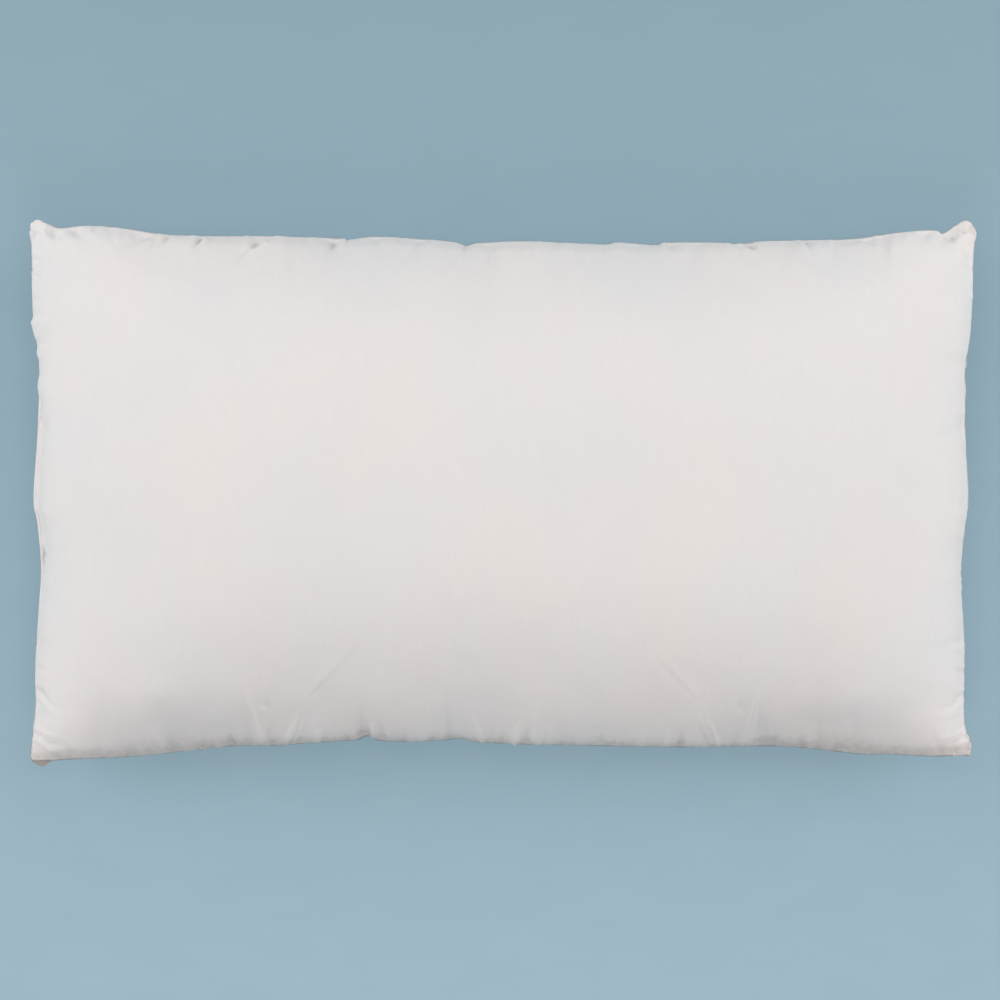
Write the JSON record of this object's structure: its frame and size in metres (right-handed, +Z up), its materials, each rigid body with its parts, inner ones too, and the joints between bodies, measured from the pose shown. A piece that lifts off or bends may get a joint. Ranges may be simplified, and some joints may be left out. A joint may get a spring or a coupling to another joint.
{
  "type": "bed pillow",
  "caption": "Rectangular fibre-filled bed pillow in a plain white woven cover, with knife-edge seams, pinched corners and a small blank label sewn in the seam.",
  "frame": {"origin": "middle of the flat area on the underside that the pillow rests on", "axes": "+X along the pillow's length, +Y across it, away from the long side that carries the label, +Z up from the resting area to the crown"},
  "size_m": [0.8726, 0.5034, 0.15],
  "materials": {
    "cotton_cover": "matte",
    "polyester_fibre": "matte",
    "sewing_thread": "satin",
    "label_tape": "satin"
  },
  "bodies": {
    "pillow": {"top_panel": "cotton_cover", "bottom_panel": "cotton_cover", "fibre_fill": "polyester_fibre", "seam_stitching": "sewing_thread", "overlock_stitching": "sewing_thread", "closing_stitching": "sewing_thread"},
    "label": {"care_label": "label_tape"}
  },
  "joints": [
    {"name": "label_flap", "type": "hinge", "parent": "pillow", "child": "label", "pos_m": [-0.427, -0.24857, 0.05], "axis": [-1, 0, 0], "range_deg": [-55, 150]}
  ]
}
